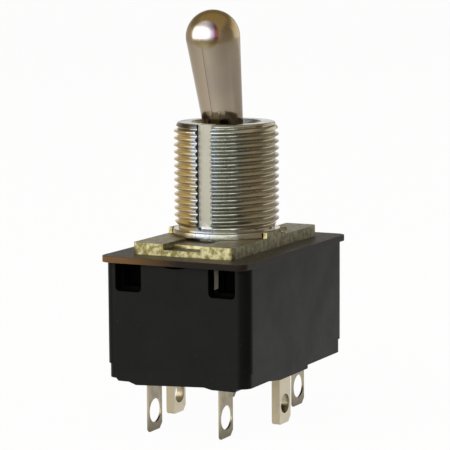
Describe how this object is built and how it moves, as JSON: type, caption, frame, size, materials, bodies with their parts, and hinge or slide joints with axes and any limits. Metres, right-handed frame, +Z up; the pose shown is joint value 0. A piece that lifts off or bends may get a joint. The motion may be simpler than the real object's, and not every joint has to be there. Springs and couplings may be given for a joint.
{
  "type": "panel toggle switch",
  "caption": "Panel toggle switch: a bat lever in a threaded keyed bushing, over a plate, an insulator and an oblong case with eyed solder lugs below.",
  "frame": {"origin": "on the axis of the bushing, at the top face of the mounting plate", "axes": "+Z up the bushing, +Y along the case away from the side that the lever leans to at rest, +X across the case"},
  "size_m": [0.0178, 0.0276, 0.0467],
  "materials": {
    "nickel_plated_lever": "bright nickel plate over brass, lightly tarnished",
    "nickel_plated_bushing": "nickel plate over turned brass, yellowed in the thread",
    "zinc_plated_steel": "zinc plate with a yellow-green tarnish",
    "phenolic_laminate": "dull brown paper laminate",
    "phenolic_moulding": "black moulding, satin and lightly scuffed",
    "nylon_moulding": "natural",
    "copper_alloy": "bright strip",
    "silver_contact": "satin silver",
    "tinned_brass": "tin plate over brass, lightly tarnished",
    "spring_steel": "bright"
  },
  "bodies": {
    "frame": {"threaded_bushing": "nickel_plated_bushing", "mounting_plate": "zinc_plated_steel", "insulating_plate": "phenolic_laminate", "case_moulding": "phenolic_moulding", "left_front_terminal": "tinned_brass", "left_front_fixed_contact": "silver_contact", "left_rear_terminal": "tinned_brass", "left_rear_fixed_contact": "silver_contact", "left_common_terminal": "tinned_brass", "right_front_terminal": "tinned_brass", "right_front_fixed_contact": "silver_contact", "right_rear_terminal": "tinned_brass", "right_rear_fixed_contact": "silver_contact", "right_common_terminal": "tinned_brass"},
    "lever": {"bat_lever": "nickel_plated_lever", "lever_pin": "spring_steel", "actuator_spring": "spring_steel"},
    "actuator": {"actuator": "nylon_moulding"},
    "left_rocker": {"left_rocker": "copper_alloy", "left_front_moving_contact": "silver_contact", "left_rear_moving_contact": "silver_contact"},
    "right_rocker": {"right_rocker": "copper_alloy", "right_front_moving_contact": "silver_contact", "right_rear_moving_contact": "silver_contact"}
  },
  "joints": [
    {"name": "lever_throw", "type": "hinge", "parent": "frame", "child": "lever", "pos_m": [0, 0, 0.0093], "axis": [-1, 0, 0], "range_deg": [0, 27]},
    {"name": "actuator_slide", "type": "slide", "parent": "lever", "child": "actuator", "axis": [0, -0.2334, 0.9724], "range_m": [0, 0.0008], "stiffness_N_per_m": 1200, "springref_m": -0.0025, "deforming": ["actuator_spring"]},
    {"name": "left_rocker_tilt", "type": "hinge", "parent": "frame", "child": "left_rocker", "pos_m": [-0.00345, 0, -0.01195], "axis": [-1, 0, 0], "range_deg": [-10, 0]},
    {"name": "right_rocker_tilt", "type": "hinge", "parent": "frame", "child": "right_rocker", "pos_m": [0.00345, 0, -0.01195], "axis": [-1, 0, 0], "range_deg": [-10, 0]}
  ],
  "couplings": [
    {"joint": "left_rocker_tilt", "follows": "lever_throw", "ratio": -0.37037},
    {"joint": "right_rocker_tilt", "follows": "lever_throw", "ratio": -0.37037}
  ]
}
